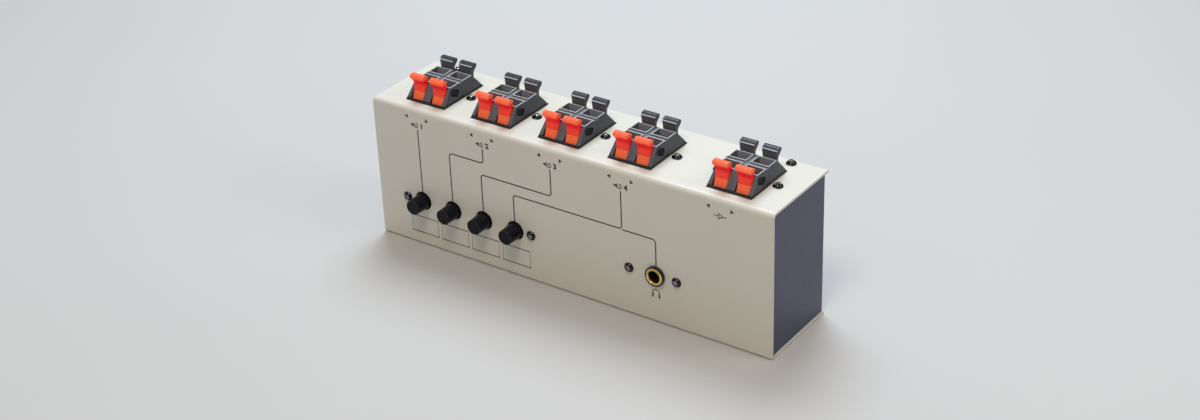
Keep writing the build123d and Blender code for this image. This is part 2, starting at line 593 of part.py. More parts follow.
# One switch: a moulded body with a square guide for the plunger, open to the front
with BuildPart() as switch:
    with BuildSketch(Plane.XY.offset(-SWITCH_DEPTH)):
        Rectangle(SWITCH_WIDTH, SWITCH_HEIGHT)
    extrude(amount=-SWITCH_LENGTH)
    chamfer(switch.edges().filter_by(Axis.Z), SWITCH_CHAMFER)
    with BuildSketch(Plane.XY.offset(-SWITCH_DEPTH)):
        Rectangle(PLUNGER_SIDE + 2 * GUIDE_PLAY, PLUNGER_SIDE + 2 * GUIDE_PLAY)
    extrude(amount=-(PLUNGER_IN_SWITCH + BUTTON_TRAVEL + GUIDE_END_PLAY), mode=Mode.SUBTRACT)

for number, button_x in enumerate(BUTTON_XS, start=1):
    with BuildPart() as button_cap:
        with Locations(on_front(button_x)):
            add(cap.part)
    finish(button_cap, f"button_{number}_cap")
    with BuildPart() as button_plunger:
        with Locations(on_front(button_x)):
            add(plunger.part)
    finish(button_plunger, f"button_{number}_plunger")

with BuildPart() as return_springs:
    with Locations(*[on_front(x) for x in BUTTON_XS]):
        add(return_spring.part)
finish(return_springs, "return_springs")

with BuildPart() as switch_bodies:
    with Locations(*[on_front(x) for x in BUTTON_XS]):
        add(switch.part)
finish(switch_bodies, "switch_bodies")

# Hat-shaped bracket: feet screwed to the panel, deck with the switches behind it
FOOT_Y = FRONT_Y + SHEET + BRACKET_SHEET / 2
DECK_Y = FRONT_Y + BRACKET_DECK + BRACKET_SHEET / 2
LEFT_FOOT_X, RIGHT_FOOT_X = SWITCH_SCREW_XS
with BuildPart() as switch_bracket:
    add(bent_strip(Plane.XY.offset(BUTTON_Z),
                   [(LEFT_FOOT_X - FOOT_REACH, FOOT_Y), (LEFT_FOOT_X + FOOT_RISE, FOOT_Y),
                    (LEFT_FOOT_X + FOOT_RISE, DECK_Y), (RIGHT_FOOT_X - FOOT_RISE, DECK_Y),
                    (RIGHT_FOOT_X - FOOT_RISE, FOOT_Y), (RIGHT_FOOT_X + FOOT_REACH, FOOT_Y)],
                   BRACKET_BEND_RADIUS, BRACKET_SHEET, BRACKET_HEIGHT))
    with BuildSketch(FRONT.offset(-BRACKET_DECK)):
        with Locations(*[(x, BUTTON_Z) for x in BUTTON_XS]):
            Rectangle(PLUNGER_SIDE + 4 * GUIDE_PLAY, PLUNGER_SIDE + 4 * GUIDE_PLAY)
    extrude(amount=-BRACKET_SHEET, mode=Mode.SUBTRACT)
    with BuildSketch(FRONT.offset(-SHEET)):
        with Locations(*[(x, BUTTON_Z) for x in SWITCH_SCREW_XS]):
            Circle(TAPPED_HOLE_RADIUS)
    extrude(amount=-BRACKET_SHEET, mode=Mode.SUBTRACT)
finish(switch_bracket, "switch_bracket")

# Circuit board under the switches, and the switches' pins through it
BOARD_X = (BUTTON_XS[0] + BUTTON_XS[-1]) / 2
BOARD_FRONT_Y = FRONT_Y + SWITCH_DEPTH + BOARD_PLAY
PIN_START_Y = (FRONT_Y + SWITCH_DEPTH + SWITCH_LENGTH / 2
               - (SWITCH_PIN_ROWS - 1) / 2 * SWITCH_PIN_PITCH)
PIN_PLACES = [(button_x + column * SWITCH_PIN_X, PIN_START_Y + row * SWITCH_PIN_PITCH)
              for button_x in BUTTON_XS for column in (-1, 1) for row in range(SWITCH_PIN_ROWS)]
with BuildPart() as switch_board:
    with BuildSketch(Plane.XY.offset(BOARD_TOP_Z)):
        with Locations((BOARD_X, BOARD_FRONT_Y + BOARD_LENGTH / 2)):
            Rectangle(BOARD_WIDTH, BOARD_LENGTH)
        with Locations(*PIN_PLACES):
            Circle(SWITCH_PIN_RADIUS + PIN_PLAY, mode=Mode.SUBTRACT)
    extrude(amount=-BOARD_THICKNESS)
finish(switch_board, "switch_board")

with BuildPart() as switch_pins:
    with BuildSketch(Plane.XY.offset(BOARD_TOP_Z)):
        with Locations(*PIN_PLACES):
            Circle(SWITCH_PIN_RADIUS)
    extrude(amount=-SWITCH_PIN_LENGTH)
finish(switch_pins, "switch_pins")

# Two resistors in the headphone line, lying on the board behind the switches
RESISTOR_Z = BOARD_TOP_Z + RESISTOR_RADIUS + RESISTOR_LIFT
with BuildPart() as headphone_resistors:
    for resistor_x in BUTTON_XS[:2]:
        ends = [(resistor_x + side * RESISTOR_SPAN / 2, RESISTOR_Y) for side in (-1, 1)]
        add(round_wire([(*ends[0], BOARD_TOP_Z), (*ends[0], RESISTOR_Z),
                        (*ends[1], RESISTOR_Z), (*ends[1], BOARD_TOP_Z)],
                       LEAD_RADIUS, LEAD_BEND_RADIUS))
        with BuildSketch(Plane.YZ.offset(resistor_x)):
            with Locations((RESISTOR_Y, RESISTOR_Z)):
                Circle(RESISTOR_RADIUS)
        extrude(amount=RESISTOR_LENGTH / 2, both=True)
finish(headphone_resistors, "headphone_resistors")

# ---------------------------------------------------------------- headphone socket

with BuildPart() as socket_sleeve:
    with BuildSketch(FRONT.offset(SOCKET_STANDS_OUT)):
        with Locations((SOCKET_X, BUTTON_Z)):
            Circle(SOCKET_SLEEVE_RADIUS)
            Circle(SOCKET_BORE_RADIUS, mode=Mode.SUBTRACT)
    extrude(amount=-(SOCKET_STANDS_OUT + SLEEVE_DEPTH))
    chamfer(socket_sleeve.edges().group_by(Axis.Y)[0], SLEEVE_CHAMFER)
finish(socket_sleeve, "socket_sleeve")

with BuildPart() as socket_nut:
    with BuildSketch(FRONT):
        with Locations((SOCKET_X, BUTTON_Z)):
            Circle(SOCKET_NUT_RADIUS)
            Circle(SOCKET_SLEEVE_RADIUS + SLEEVE_PLAY, mode=Mode.SUBTRACT)
    extrude(amount=SOCKET_NUT_HEIGHT)
    fillet(socket_nut.edges().group_by(Axis.Y)[0].sort_by(SortBy.RADIUS)[-1], NUT_EDGE_RADIUS)
finish(socket_nut, "socket_nut")

PLATE_LEFT_X = SOCKET_SCREW_XS[0] - FOOT_REACH
PLATE_RIGHT_X = SOCKET_SCREW_XS[1] + FOOT_REACH
with BuildPart() as socket_plate:
    with BuildSketch(FRONT.offset(-SHEET)):
        with Locations(((PLATE_LEFT_X + PLATE_RIGHT_X) / 2, BUTTON_Z)):
            RectangleRounded(PLATE_RIGHT_X - PLATE_LEFT_X, PLATE_HEIGHT, CORNER_RADIUS)
        with Locations(*[(x, BUTTON_Z) for x in SOCKET_SCREW_XS]):
            Circle(TAPPED_HOLE_RADIUS, mode=Mode.SUBTRACT)
        with Locations((SOCKET_X, BUTTON_Z)):
            Circle(SOCKET_SLEEVE_RADIUS + SLEEVE_PLAY, mode=Mode.SUBTRACT)
    extrude(amount=-PLATE_THICKNESS)
finish(socket_plate, "socket_plate")

BODY_DEPTH = SHEET + PLATE_THICKNESS
with BuildPart() as socket_body:
    with BuildSketch(FRONT.offset(-BODY_DEPTH)):
        with Locations((SOCKET_X, BUTTON_Z)):
            Rectangle(SOCKET_BODY_WIDTH, SOCKET_BODY_HEIGHT)
    extrude(amount=-SOCKET_BODY_LENGTH)
    chamfer(socket_body.edges().filter_by(Axis.Y), SWITCH_CHAMFER)
    with BuildSketch(FRONT.offset(-BODY_DEPTH)):
        with Locations((SOCKET_X, BUTTON_Z)):
            Circle(SOCKET_SLEEVE_RADIUS + SLEEVE_PLAY)
    extrude(amount=-(SLEEVE_DEPTH - BODY_DEPTH), mode=Mode.SUBTRACT)
    with BuildSketch(FRONT.offset(-BODY_DEPTH)):
        with Locations((SOCKET_X, BUTTON_Z)):
            Circle(SOCKET_BORE_RADIUS)
    extrude(amount=-(SOCKET_BORE_DEPTH - BODY_DEPTH), mode=Mode.SUBTRACT)
finish(socket_body, "socket_body")

CONTACT_XS = [SOCKET_X + i * SOCKET_CONTACT_PITCH for i in (-1, 0, 1)]
with BuildPart() as socket_contacts:
    with BuildSketch(FRONT.offset(-BODY_DEPTH - SOCKET_BODY_LENGTH)):
        with Locations(*[(x, BUTTON_Z) for x in CONTACT_XS]):
            Rectangle(SOCKET_CONTACT_WIDTH, SOCKET_CONTACT_THICKNESS)
    extrude(amount=-SOCKET_CONTACT_LENGTH)
finish(socket_contacts, "socket_contacts")

# ---------------------------------------------------------------- wiring


# Each front cell's tail has a wire of its own to the board: it drops, runs back to its lane,
# drops again, runs along the lane and comes down between the switches
TAIL_Y = BLOCK_Y + BAR_Y
TAIL_END_Z = CASE_HEIGHT + TAIL_BOTTOM_Z
GAP_XS = [BUTTON_XS[0] - OUTER_GAP] + [x + BUTTON_PITCH / 2 for x in BUTTON_XS]
with BuildPart() as speaker_wires:
    lane = 0
    for terminal_x, gap_x in zip(TERMINAL_XS.values(), GAP_XS):
        for side in (-1, 1):
            tail_x = terminal_x + side * CELL_X
            lane_y = FIRST_LANE_Y + lane * LANE_PITCH
            pad_x = gap_x + side * PAD_OFFSET
            add(round_wire([(tail_x, TAIL_Y, TAIL_END_Z), (tail_x, TAIL_Y, WIRE_TURN_Z),
                            (tail_x, lane_y, WIRE_TURN_Z), (tail_x, lane_y, WIRE_LANE_Z),
                            (pad_x, lane_y, WIRE_LANE_Z), (pad_x, lane_y, BOARD_TOP_Z)],
                           WIRE_RADIUS, WIRE_BEND_RADIUS))
            lane += 1
finish(speaker_wires, "speaker_wires")

# Bare wire through the tails of all rear cells
BUS_Y = BLOCK_Y - BAR_Y
with BuildPart() as ground_bus:
    with BuildSketch(Plane.YZ.offset(TERMINAL_XS["speaker_1"] - CELL_PITCH)):
        with Locations((BUS_Y, CASE_HEIGHT + TAIL_HOLE_Z)):
            Circle(BUS_RADIUS)
    extrude(amount=AMPLIFIER_X - TERMINAL_XS["speaker_1"] + 2 * CELL_PITCH)
finish(ground_bus, "ground_bus")

# Three wires from the board to the socket's contacts, one above the other
with BuildPart() as headphone_wires:
    for level, contact_x in enumerate(CONTACT_XS):
        run_z = HEADPHONE_RUN_Z + level * HEADPHONE_RUN_PITCH
        board_x = HEADPHONE_PAD_X - level * HEADPHONE_RUN_PITCH
        contact_top_z = BUTTON_Z + SOCKET_CONTACT_THICKNESS / 2
        add(round_wire([(board_x, HEADPHONE_WIRE_Y, BOARD_TOP_Z), (board_x, HEADPHONE_WIRE_Y, run_z),
                        (contact_x, HEADPHONE_WIRE_Y, run_z),
                        (contact_x, HEADPHONE_WIRE_Y, contact_top_z)],
                       WIRE_RADIUS, WIRE_BEND_RADIUS))
finish(headphone_wires, "headphone_wires")
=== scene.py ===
# %% [markdown]
# # Speaker selector switch
# A slim steel box that carries five spring-lever terminal blocks on its top, and four push
# buttons and a headphone socket on its front. The solids come packed from the CAD model and are
# the frame of everything here: they are loaded first, and never moved or reshaped. Blender adds
# the printed lines, the thin rims of the wire entries and every finish.

# %% Load the solids
import math

import bpy
from mathutils import Matrix, Vector


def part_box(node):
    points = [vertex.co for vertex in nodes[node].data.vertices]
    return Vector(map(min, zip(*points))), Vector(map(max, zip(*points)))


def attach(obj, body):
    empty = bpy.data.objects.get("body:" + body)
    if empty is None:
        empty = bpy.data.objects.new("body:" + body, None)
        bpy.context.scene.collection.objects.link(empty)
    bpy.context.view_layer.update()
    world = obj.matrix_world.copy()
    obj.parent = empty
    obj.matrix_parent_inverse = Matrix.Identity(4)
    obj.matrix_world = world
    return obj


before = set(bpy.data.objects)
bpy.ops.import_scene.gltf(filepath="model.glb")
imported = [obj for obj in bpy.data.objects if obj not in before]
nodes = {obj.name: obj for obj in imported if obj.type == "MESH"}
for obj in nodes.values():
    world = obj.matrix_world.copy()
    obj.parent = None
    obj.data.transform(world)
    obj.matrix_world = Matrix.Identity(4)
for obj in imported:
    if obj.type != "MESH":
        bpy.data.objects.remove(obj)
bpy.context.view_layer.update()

MM = 0.001

# %% [markdown]
# ## Places on the box
# The front panel, the blocks and the buttons are measured once from the solids themselves, so a
# piece that is added later sits where its neighbours are.

# %% Measure the panel, the blocks and the buttons
TERMINALS = ["speaker_1", "speaker_2", "speaker_3", "speaker_4", "amplifier"]
BUTTONS = ["button_1", "button_2", "button_3", "button_4"]


def middle(node):
    low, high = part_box(node)
    return (low + high) / 2


def levers(colour):
    """The names of all levers of one colour."""
    return [f"{name}_{colour}_lever_{side}" for name in TERMINALS for side in ("left", "right")]


cover_low, cover_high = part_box("front_cover")
front_y, top_z = cover_low.y, cover_high.z
block_x = {name: middle(f"{name}_housing").x for name in TERMINALS}
block_y = middle("amplifier_housing").y
block_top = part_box("amplifier_housing")[1].z
button_x = {name: middle(f"{name}_cap").x for name in BUTTONS}
socket = middle("socket_nut")
print("panel at y", round(front_y / MM, 2))
print("blocks at x", [round(x / MM, 1) for x in block_x.values()])

# %% [markdown]
# ## Camera
# The picture was taken from the right, a little above. The place, direction and focal length were
# worked out from the box's corners, so the camera's axes are given as three directions. A lens in
# millimetres follows from the focal length in pixels and a sensor 36 mm wide.

# %% Set up the camera
PICTURE_WIDTH = 1200
FOCAL_PIXELS = 2052.4
SENSOR_WIDTH = 36
CAMERA_PLACE = Vector((0.555141, -0.768448, 0.566654))
CAMERA_RIGHT = Vector((0.822601, 0.567672, -0.032789))
CAMERA_UP = Vector((-0.253799, 0.418154, 0.872200))
CAMERA_BACK = CAMERA_RIGHT.cross(CAMERA_UP)
NEAREST_SEEN = 0.01

bpy.ops.object.select_all(action="DESELECT")
bpy.ops.object.camera_add(location=CAMERA_PLACE)
camera = bpy.context.object
axes = Matrix((CAMERA_RIGHT, CAMERA_UP, CAMERA_BACK)).transposed()
camera.rotation_euler = axes.to_euler()
camera.data.sensor_width = SENSOR_WIDTH
camera.data.lens = FOCAL_PIXELS / PICTURE_WIDTH * SENSOR_WIDTH
camera.data.clip_start = NEAREST_SEEN
bpy.context.scene.camera = camera
print("lens", round(camera.data.lens, 1), "mm")

# %% [markdown]
# ## Floor and light
# The real box was lit by one large soft light above and behind it: its top is the brightest face
# and its front lies in an even, warmer shade. A big area light does that. A warmer one, high up
# in front, lifts the front and the levers, a small one gives the side its paler upper part, and a
# pale world fills the rest. The floor is a plain plane, not part of the box. The plain "Standard"
# view shows colours as they are, where Blender's usual one would bleach the red levers.

# %% Lay the floor and hang the lights
BOX_MIDDLE = (0, 0, 0.05)
RIGHT_SIDE = (0.125, 0, 0.08)
AIR_COLOUR, AIR_STRENGTH = (0.97, 0.97, 1.0, 1), 0.35
FLOOR_SIZE, FLOOR_DROP = 6, 0.2 * MM


def soft_light(name, place, size, watts, colour, aim=BOX_MIDDLE):
    """A round area light that looks at `aim`."""
    bpy.ops.object.light_add(type="AREA", location=place)
    light = bpy.context.object
    light.name = name
    light.data.shape = "DISK"
    light.data.size = size
    light.data.energy = watts
    light.data.color = colour
    light.rotation_euler = (Vector(aim) - Vector(place)).to_track_quat("-Z", "Y").to_euler()


soft_light("light_above", place=(-0.30, 0.50, 1.05), size=0.7, watts=12.1,
           colour=(0.75, 0.88, 1.0))
soft_light("light_front", place=(0.25, -0.75, 1.4), size=0.5, watts=8.0,
           colour=(1.0, 0.91, 0.77))
soft_light("light_right", place=(0.60, 0.10, 0.52), size=0.25, watts=0.75,
           colour=(0.94, 0.97, 1.0), aim=RIGHT_SIDE)

world = bpy.data.worlds.new("studio_air")
world.use_nodes = True
air = world.node_tree.nodes["Background"].inputs
air["Color"].default_value = AIR_COLOUR
air["Strength"].default_value = AIR_STRENGTH
bpy.context.scene.world = world
bpy.context.scene.view_settings.view_transform = "Standard"

bpy.ops.mesh.primitive_plane_add(size=FLOOR_SIZE, location=(0, 0, -FLOOR_DROP))
floor = bpy.context.object
floor.name = "floor"

# %% [markdown]
# ## Writing finishes as sums
# A finish is a small graph of shader nodes. Drawing that graph in code gets long, so a socket is
# wrapped in a class that knows addition, subtraction, multiplication and division: an expression
# such as `0.4 + 0.1 * grain` then lays its own Math nodes.

# %% A socket that can be calculated with
class Amount:
    """The output of a shader node, used in sums like a number."""

    def __init__(self, finish, socket):
        self.finish = finish
        self.socket = socket

    def _maths(self, operation, first, second):
        return self.finish.node("ShaderNodeMath", {"operation": operation}, {0: first, 1: second})

    def __add__(self, other):
        return self._maths("ADD", self, other)

    def __mul__(self, other):
        return self._maths("MULTIPLY", self, other)

    def __sub__(self, other):
        return self._maths("SUBTRACT", self, other)

    def __rsub__(self, other):
        return self._maths("SUBTRACT", other, self)

    def __truediv__(self, other):
        return self._maths("DIVIDE", self, other)

    __radd__ = __add__
    __rmul__ = __mul__

    def above(self, level):
        return self._maths("GREATER_THAN", self, level)

    def below(self, level):
        return self._maths("LESS_THAN", self, level)

    def size(self):
        """How far it is from 0, whichever its sign."""
        return self.finish.node("ShaderNodeMath", {"operation": "ABSOLUTE"}, {0: self})


# %% [markdown]
# ## A finish
# Every finish starts from Principled BSDF. What is the same all over the surface is set on its
# sockets directly. What changes over the surface reads the piece's own coordinates and normal,
# which ride along when a lever swings. The Bevel node rounds the corners of the shading by a
# fraction of a millimetre, as every moulded or bent edge is, so that edges catch the light; how
# far it turns the normal also shows where the edges are, where a finish wears and where a paler
# colour is painted on as a highlight.

# %% The finish class
ROUNDING_SAMPLES = 6
MIX_COLOURS, MIX_RESULT = (6, 7), 2  # a Mix node's colour sockets, by number
GRAIN_PER_MM = 5.5
FLOW_PER_MM = 0.12


class Finish:
    """One material and the patterns that the pieces' finishes share."""

    def __init__(self, name, edge=0.25, **fixed):
        """`edge` is the radius of the edges in millimetres, `fixed` what never varies."""
        self.material = bpy.data.materials.new(name)
        self.material.use_nodes = True
        self.tree = self.material.node_tree
        shader = self.tree.nodes["Principled BSDF"]
        self.sockets = {s.name.lower().replace(" ", "_"): s for s in shader.inputs}
        for socket_name, value in fixed.items():
            self.sockets[socket_name].default_value = value
        self.place = self.node("ShaderNodeTexCoord", output="Object")
        self.rounded = self.node("ShaderNodeBevel", {"samples": ROUNDING_SAMPLES},
                                 {"Radius": edge * MM})

    def node(self, kind, settings=None, feeds=None, output=0):
        """Add a node: its settings first, then a value or a link for each socket."""
        node = self.tree.nodes.new(kind)
        for key, value in (settings or {}).items():
            setattr(node, key, value)
        for key, value in (feeds or {}).items():
            if isinstance(value, Amount):
                self.tree.links.new(value.socket, node.inputs[key])
            else:
                node.inputs[key].default_value = value
        return Amount(self, node.outputs[output])

    def along(self, axis):
        """X, Y or Z of the place on the piece, in millimetres."""
        return self.node("ShaderNodeSeparateXYZ", feeds={0: self.place}, output=axis) / MM

    def stretched(self, scale):
        """Coordinates drawn out along an axis, for brushed and drawn metal."""
        return self.node("ShaderNodeMapping", {"vector_type": "POINT"},
                         {"Vector": self.place, "Scale": scale})

    def noise(self, per_mm, detail=2, coordinates=None):
        """Soft random pattern from 0 to 1, with so many features in a millimetre."""
        return self.node("ShaderNodeTexNoise", feeds={
            "Vector": coordinates or self.place, "Scale": per_mm / MM, "Detail": detail})

    def grain(self):
        """The very fine grain of a mould's roughened wall."""
        return self.noise(GRAIN_PER_MM)

    def flow(self):
        """Wide faint clouds, left by the plastic as it filled the mould."""
        return self.ramp(self.noise(FLOW_PER_MM, detail=3), 0.3, 0.75)

    def ramp(self, amount, low, high):
        """0 below low, 1 above high, smooth between them."""
        return self.node("ShaderNodeMapRange", {"interpolation_type": "SMOOTHSTEP"}, {
            "Value": amount, "From Min": low, "From Max": high})

    def edges(self, strength=3.0):
        """1 along the corners of the shape, 0 on its faces."""
        flat = self.node("ShaderNodeNewGeometry", output="Normal")
        match = self.node("ShaderNodeVectorMath", {"operation": "DOT_PRODUCT"},
                          {0: self.rounded, 1: flat}, output="Value")
        return self.ramp((1 - match) * strength, 0.0, 1.0)

    def facing(self, axis, least, full):
        """0 where the face's normal along an axis of the piece is under `least`, 1 over `full`."""
        normal = self.node("ShaderNodeTexCoord", output="Normal")
        part = self.node("ShaderNodeSeparateXYZ", feeds={0: normal}, output=axis)
        return self.ramp(part, least, full)

    def blend(self, amount, first, second):
        """A colour between two others."""
        feeds = {0: amount}
        for key, colour in zip(MIX_COLOURS, (first, second)):
            feeds[key] = colour if isinstance(colour, Amount) else (*colour, 1)
        return self.node("ShaderNodeMix", {"data_type": "RGBA"}, feeds, output=MIX_RESULT)

    def layers(self, tone, *coats):
        """Colours laid over `tone` in turn, each given as where, how strongly, which colour."""
        for where, share, colour in coats:
            tone = self.blend(where * share, tone, colour)
        return tone

    def surface(self, height=None, depth=0.02, strength=0.3, **varying):
        """Feed the shader: colours and numbers, and a fine relief, `depth` in millimetres."""
        for socket_name, value in varying.items():
            self.tree.links.new(value.socket, self.sockets[socket_name])
        normal = self.rounded
        if height is not None:
            normal = self.node("ShaderNodeBump", feeds={
                "Height": height, "Strength": strength, "Distance": depth * MM,
                "Normal": self.rounded})
        self.tree.links.new(normal.socket, self.sockets["normal"])
        return self.material


def dress(material, *names):
    """Give solids their finish."""
    for name in names:
        for slot in nodes[name].material_slots:
            slot.material = material
    print(material.name, "on", len(names), "solids")


# %% [markdown]
# ## Enamel on sheet steel
# Both covers are bent from steel sheet and sprayed: the front cover warm white, the rear one
# slate. Sprayed enamel has a faint orange peel, a few specks and slightly uneven gloss. In patches
# along its bends and cut edges it is paler, partly rubbed through and partly a painted highlight.
# Noises of different sizes give the peel, the cloudiness and the uneven gloss, one that is cut off
# high gives the specks, and one breaks up the paler patches.

# %% Enamel
def enamel(name, paint, cloud, wear_and_highlight_colour, roughness):
    coat = Finish(name, edge=0.5)
    peel = coat.noise(1.1, detail=3)
    cloudy = coat.ramp(coat.noise(0.02, detail=3), 0.35, 0.7)
    specks = coat.ramp(coat.noise(1.7, detail=1), 0.73, 0.8)
    # Paler patches along the bends and cut edges: partly wear, partly painted highlight.
    wear_and_highlight = coat.edges() * coat.ramp(coat.noise(0.16, detail=3), 0.45, 0.7)
    tone = coat.layers(paint, (cloudy, 0.5, cloud), (specks, 0.25, cloud), (wear_and_highlight, 0.5, wear_and_highlight_colour))
    return coat.surface(height=peel, depth=0.02, strength=0.35, base_color=tone,
                        roughness=roughness + 0.1 * coat.noise(0.3) - 0.08 * wear_and_highlight)


cream_enamel = enamel("cream_enamel", paint=(0.665, 0.633, 0.550), cloud=(0.635, 0.602, 0.518),
                      wear_and_highlight_colour=(0.92, 0.90, 0.86), roughness=0.36)
slate_enamel = enamel("slate_enamel", paint=(0.051, 0.055, 0.102), cloud=(0.044, 0.048, 0.090),
                      wear_and_highlight_colour=(0.22, 0.22, 0.24), roughness=0.38)
dress(cream_enamel, "front_cover")
dress(slate_enamel, "rear_cover")

# %% [markdown]
# ## Moulded plastic
# The buttons and the socket's collar come out of moulds whose walls were roughened by sparks, so
# they have a very fine grain. Their edges are paler, partly worn shiny by handling and partly a
# painted highlight; on the black buttons and collar the pale edges are painted highlights. A
# little dust lies on what faces up. The housings and levers, which come next, share the grain and
# the paler edges, and add patterns of their own.

# %% Moulded plastic
DUST = (0.5, 0.48, 0.44)


def moulded(name, colour, shade, wear_and_highlight_colour, roughness, edge=0.16, **fixed):
    skin = Finish(name, edge, **fixed)
    grain = skin.grain()
    # Paler edges: partly wear, partly painted highlight.
    wear_and_highlight = skin.edges(5.0)
    dust = skin.ramp(skin.noise(0.9, detail=4), 0.5, 0.8) * skin.facing("Z", 0.3, 1.0)
    tone = skin.layers(colour, (skin.flow(), 0.6, shade), (dust, 0.06, DUST),
                       (wear_and_highlight, 0.55, wear_and_highlight_colour))
    return skin.surface(height=grain, depth=0.02, strength=0.3, base_color=tone,
                        roughness=roughness + 0.12 * grain - 0.12 * wear_and_highlight)


# On the black buttons and collar, the pale edge colours are painted highlights and reflections.
button_black = moulded(
    "button_black", colour=(0.0045, 0.0042, 0.0085), shade=(0.0035, 0.0033, 0.0065),
    wear_and_highlight_colour=(0.42, 0.42, 0.48), roughness=0.2, edge=0.26, specular_ior_level=0.14)
collar_black = moulded(
    "collar_black", colour=(0.005, 0.005, 0.009), shade=(0.004, 0.004, 0.006),
    wear_and_highlight_colour=(0.16, 0.17, 0.22), roughness=0.12, edge=0.3)
dress(button_black, *[f"{name}_cap" for name in BUTTONS])
dress(collar_black, "socket_nut")

# %% [markdown]
# ## Terminal housings
# The housings are charcoal. Painted light makes their walls that face the user paler, above all
# inside the wire entries, and the strips between the entries paler still; painted shade darkens
# the foot and the shallow recess in the right-hand wall. Their edges are paler, partly worn and
# partly a painted highlight. All of these are found by their place in the block, in millimetres
# from its middle and from the cover's top, so each housing has a finish that knows its own middle.
# A FADE is the pair of places where a change begins and ends.

# %% Housings
ENTRIES_REACH, ENTRIES_LOW = 9.3, 3.5  # how far from the middle they go, and how deep
STRIP_LOW, STRIP_HIGH = 8.2, 8.6
FOOT_LOW, FOOT_FADE = -0.1, (1.1, 1.5)
RECESS_LEFT, RECESS_RIGHT, RECESS_TOP = 11.4, 11.75, 7.6
RECESS_FORWARD, RECESS_HALF = 6.2, 4.8  # its middle in front of the block's, half its length


def housing_finish(name):
    skin = Finish(f"{name}_moulding", edge=0.22, specular_ior_level=0.35)
    across = skin.along("X") - block_x[name] / MM
    depth = skin.along("Y") - block_y / MM
    height = skin.along("Z") - top_z / MM
    grain = skin.grain()
    # Paler edges: partly wear, partly painted highlight.
    wear_and_highlight = skin.edges(4.0)
    # Painted light: the faces towards the user are paler.
    lit_front_side = 1 - skin.facing("Y", -0.85, -0.15)
    # Painted light: the walls inside the wire entries are paler.
    lit_entry_walls = lit_front_side * depth.size().below(ENTRIES_REACH) * height.above(ENTRIES_LOW)
    # Painted light: the strips between the entries are paler.
    lit_strip = skin.facing("Z", 0.8, 0.95) * height.above(STRIP_LOW) * height.below(STRIP_HIGH)
    # Painted shade: the foot is darker.
    shaded_foot = height.above(FOOT_LOW) * (1 - skin.ramp(height, *FOOT_FADE))
    # Painted shade: a dark patch fills the recess in the right-hand wall.
    recess_wall = across.above(RECESS_LEFT) * across.below(RECESS_RIGHT)
    shaded_recess = (recess_wall * (depth + RECESS_FORWARD).size().below(RECESS_HALF)
              * height.below(RECESS_TOP))
    tone = skin.layers(
        (0.059, 0.063, 0.076),
        (skin.flow(), 0.6, (0.050, 0.053, 0.064)),
        (lit_front_side, 0.5, (0.155, 0.163, 0.187)),
        (lit_strip, 0.45, (0.21, 0.215, 0.235)),
        (lit_entry_walls, 0.5, (0.27, 0.28, 0.31)),
        (wear_and_highlight, 0.75, (0.40, 0.405, 0.43)),
        (shaded_foot, 0.9, (0.008, 0.008, 0.010)),
        (shaded_recess, 0.9, (0.010, 0.011, 0.016)))
    return skin.surface(height=grain, depth=0.02, strength=0.3, base_color=tone,
                        roughness=0.34 + 0.12 * grain - 0.12 * wear_and_highlight + 0.3 * shaded_recess)


for name in TERMINALS:
    dress(housing_finish(name), f"{name}_housing")

# %% [markdown]
# ## Black levers
# The black levers are the same moulding as the red ones. Painted light makes their faces towards
# the user paler, a painted highlight brightens the ridge along the inner edge of the lip, where a
# fingernail catches, and the lip above it is a little paler. Their edges are paler, partly worn
# and partly a painted highlight. As on the housings, places are in millimetres from the block's
# middle and from the cover's top.

# %% Black levers
RIDGE_HEIGHT, RIDGE_REACH = 13.1, 11.3  # its reach is from the block's middle
GRIP_FADE = (13.3, 14.2)


def lever_black_finish():
    skin = Finish("lever_black", edge=0.1, specular_ior_level=0.35)
    height = skin.along("Z") - top_z / MM
    inner = (skin.along("Y") - block_y / MM).size().below(RIDGE_REACH)
    grain = skin.grain()
    # Painted highlight: a bright line along the ridge.
    ridge_highlight = (1 - skin.ramp((height - RIDGE_HEIGHT).size(), 0.10, 0.32)) * inner
    # Paler edges: partly wear, partly painted highlight.
    wear_and_highlight = skin.edges(4.0)
    grip = skin.ramp(height, *GRIP_FADE)
    # Painted light: the faces towards the user are paler.
    lit_front_side = 1 - skin.facing("Y", -0.9, -0.3)
    tone = skin.layers(
        (0.033, 0.034, 0.043),
        (skin.flow(), 0.6, (0.027, 0.028, 0.036)),
        (lit_front_side, 0.8, (0.120, 0.123, 0.143)),
        (grip, 0.2, (0.06, 0.06, 0.07)),
        (wear_and_highlight, 0.45, (0.34, 0.34, 0.37)),
        (ridge_highlight, 0.8, (0.55, 0.55, 0.59)))
    return skin.surface(height=grain, depth=0.015, strength=0.3, base_color=tone,
                        roughness=0.27 + 0.1 * grain - 0.1 * wear_and_highlight)


dress(lever_black_finish(), *levers("black"))

# %% [markdown]
# ## Red levers
# Each red lever is one plastic, but its colour follows the height over the cover as painted light
# and shade: orange on the lit lower part, redder above the crease as painted shade, a deep red in
# the hollow under the lip as painted shade, and orange again on the lit lip as painted light, with
# a soft change from one to the next and a thin darker line on the crease as painted shade. Its
# edges are paler, partly worn and partly a painted highlight. The plastic scatters light inside,
# and a little emission of its own colour makes it glow as painted light, though it is no lamp.

# %% Red levers
CREASE_HEIGHT = 4.7
UPPER_SHADE_FADE, HOLLOW_SHADE_FADE, LIP_LIGHT_FADE = (4.3, 5.0), (7.6, 9.2), (11.7, 12.3)


